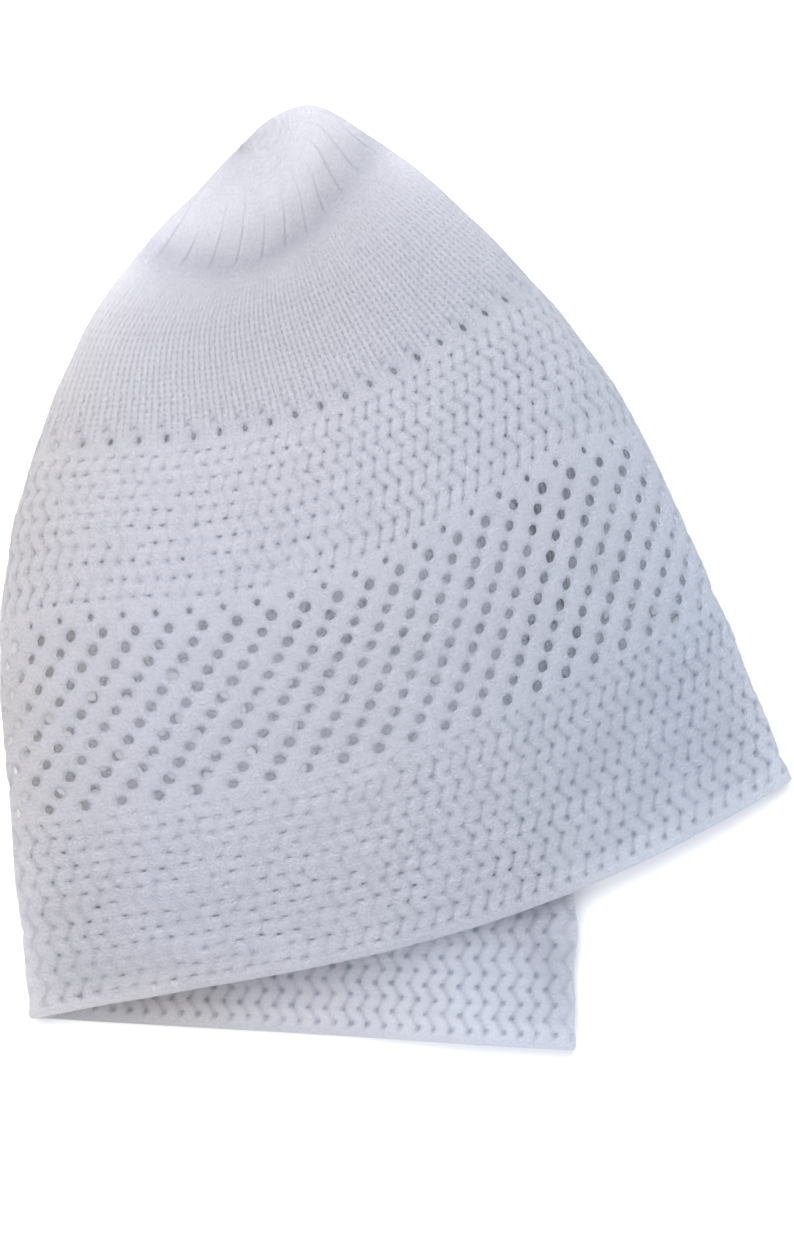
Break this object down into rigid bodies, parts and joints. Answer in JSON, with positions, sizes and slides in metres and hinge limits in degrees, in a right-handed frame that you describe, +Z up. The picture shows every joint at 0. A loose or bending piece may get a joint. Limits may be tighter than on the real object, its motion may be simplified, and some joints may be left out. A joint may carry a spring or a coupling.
{
  "type": "knitted kufi cap",
  "caption": "White openwork knitted kufi lying flat on its back layer, with a smooth gathered crown disc, an eyelet band and a plain hem.",
  "frame": {"origin": "middle of the cap as it lies, on the surface it lies on", "axes": "+Z up from the surface, +Y towards the crown, -Y out of the mouth"},
  "size_m": [0.1982, 0.2368, 0.0348],
  "materials": {
    "crown_knit": "smooth dense knit, matte",
    "lace_knit": "openwork knit, matte",
    "hem_knit": "plain knit welt, matte"
  },
  "bodies": {
    "root": {"crown_disc": "crown_knit", "side_wall": "lace_knit", "hem_band": "hem_knit"}
  },
  "joints": []
}
